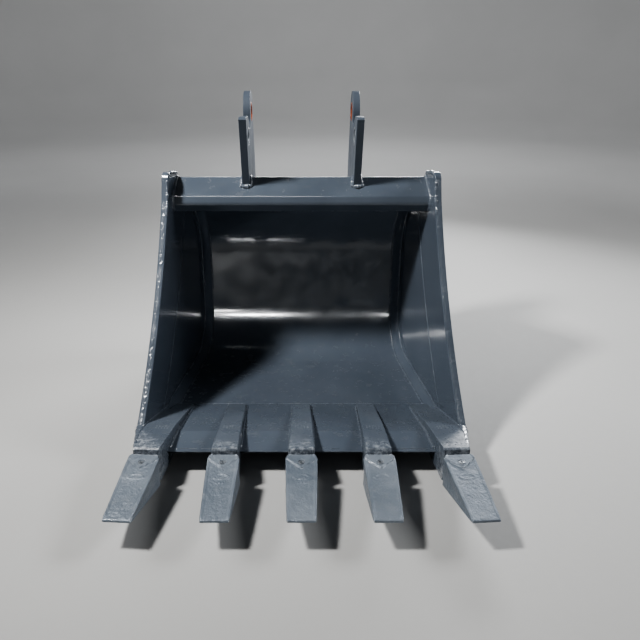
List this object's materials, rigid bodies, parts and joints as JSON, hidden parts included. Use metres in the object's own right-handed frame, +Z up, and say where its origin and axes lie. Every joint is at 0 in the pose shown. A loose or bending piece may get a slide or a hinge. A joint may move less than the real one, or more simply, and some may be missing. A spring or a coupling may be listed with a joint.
{
  "type": "excavator bucket",
  "caption": "Digging bucket for an excavator: rolled wrapper, tapered sides, box beam with two pin ears, and cast tooth points on weld-on adapters, each held by a lock pin that drives out.",
  "frame": {"origin": "middle of the stick pin's axis, between the two ears", "axes": "+X to the right as seen from the mouth, -Y the way the mouth and teeth face, +Z up with the bucket standing on its heel"},
  "size_m": [1, 1.2096, 1.0097],
  "materials": {
    "painted_steel": "glossy slate blue-grey enamel over steel plate",
    "painted_casting": "glossy slate blue-grey enamel over rough cast steel",
    "cast_steel": "silver-grey sprayed cast steel with a fine cast grain",
    "bush_steel": "bored steel with a thin film of preservative",
    "pin_steel": "dark drawn steel",
    "rubber": "matte"
  },
  "bodies": {
    "root": {"wrapper": "painted_steel", "lip_plate": "painted_steel", "side_bar_left": "painted_steel", "side_bar_right": "painted_steel", "side_plate_left": "painted_steel", "side_plate_right": "painted_steel", "torque_tube": "painted_steel", "ear_left": "painted_steel", "ear_right": "painted_steel", "stick_bush_left": "bush_steel", "stick_bush_right": "bush_steel", "link_bush_left": "bush_steel", "link_bush_right": "bush_steel", "corner_strip_left": "painted_steel", "corner_strip_right": "painted_steel", "wear_strap_1": "painted_steel", "wear_strap_2": "painted_steel", "wear_strap_3": "painted_steel", "wear_strap_4": "painted_steel", "heel_plate_left": "painted_steel", "heel_plate_right": "painted_steel", "adapter_1": "painted_casting", "adapter_2": "painted_casting", "adapter_3": "painted_casting", "adapter_4": "painted_casting", "adapter_5": "painted_casting", "tooth_1": "cast_steel", "tooth_2": "cast_steel", "tooth_3": "cast_steel", "tooth_4": "cast_steel", "tooth_5": "cast_steel", "pin_keepers": "rubber"},
    "lock_pin_1": {"tooth_pin_1": "pin_steel"},
    "lock_pin_2": {"tooth_pin_2": "pin_steel"},
    "lock_pin_3": {"tooth_pin_3": "pin_steel"},
    "lock_pin_4": {"tooth_pin_4": "pin_steel"},
    "lock_pin_5": {"tooth_pin_5": "pin_steel"}
  },
  "joints": [
    {"name": "lock_pin_1_out", "type": "slide", "parent": "root", "child": "lock_pin_1", "axis": [0, 0.1822, 0.9833], "range_m": [0, 0.08]},
    {"name": "lock_pin_2_out", "type": "slide", "parent": "root", "child": "lock_pin_2", "axis": [0, 0.1822, 0.9833], "range_m": [0, 0.08]},
    {"name": "lock_pin_3_out", "type": "slide", "parent": "root", "child": "lock_pin_3", "axis": [0, 0.1822, 0.9833], "range_m": [0, 0.08]},
    {"name": "lock_pin_4_out", "type": "slide", "parent": "root", "child": "lock_pin_4", "axis": [0, 0.1822, 0.9833], "range_m": [0, 0.08]},
    {"name": "lock_pin_5_out", "type": "slide", "parent": "root", "child": "lock_pin_5", "axis": [0, 0.1822, 0.9833], "range_m": [0, 0.08]}
  ]
}
